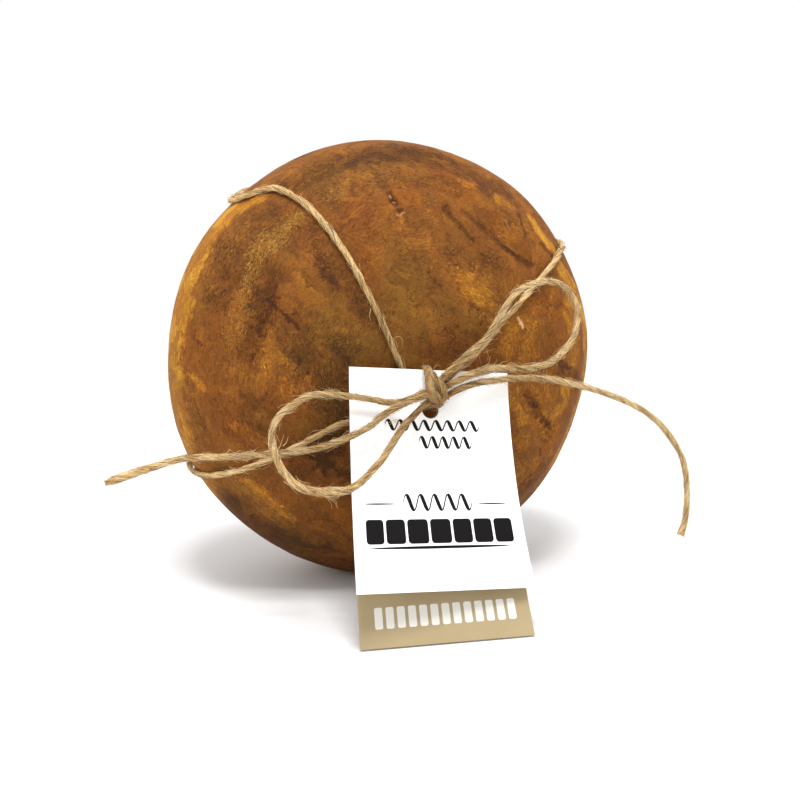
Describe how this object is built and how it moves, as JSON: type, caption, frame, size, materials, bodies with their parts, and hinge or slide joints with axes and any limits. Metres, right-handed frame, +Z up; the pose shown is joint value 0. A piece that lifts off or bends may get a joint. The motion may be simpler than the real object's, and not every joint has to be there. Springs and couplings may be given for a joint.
{
  "type": "semi-hard cow milk cheese",
  "caption": "Whole browned cheese wheel standing on its rim, tied crosswise with jute twine, with a bow and a hanging card tag.",
  "frame": {"origin": "middle of the small flat spot on the rim that the wheel stands on", "axes": "+X across the round face to the right as seen from the front, +Y from the front face with the bow and tag to the back face, +Z up"},
  "size_m": [0.2594, 0.1593, 0.1979],
  "materials": {
    "rind": "oiled, smoked natural rind, mottled brown and ochre, satin",
    "jute": "natural jute twine, twisted, dry and hairy",
    "white_card": "smooth white card, uncoated",
    "tan_card": "tan card, uncoated"
  },
  "bodies": {
    "root": {"cheese_wheel": "rind", "twine_tie": "jute", "twine_knot": "jute", "bow_loop_left": "jute", "bow_loop_right": "jute", "bow_tail_left": "jute", "bow_tail_right": "jute", "tag_front_leaf": "white_card", "tag_back_leaf": "tan_card"}
  },
  "joints": []
}
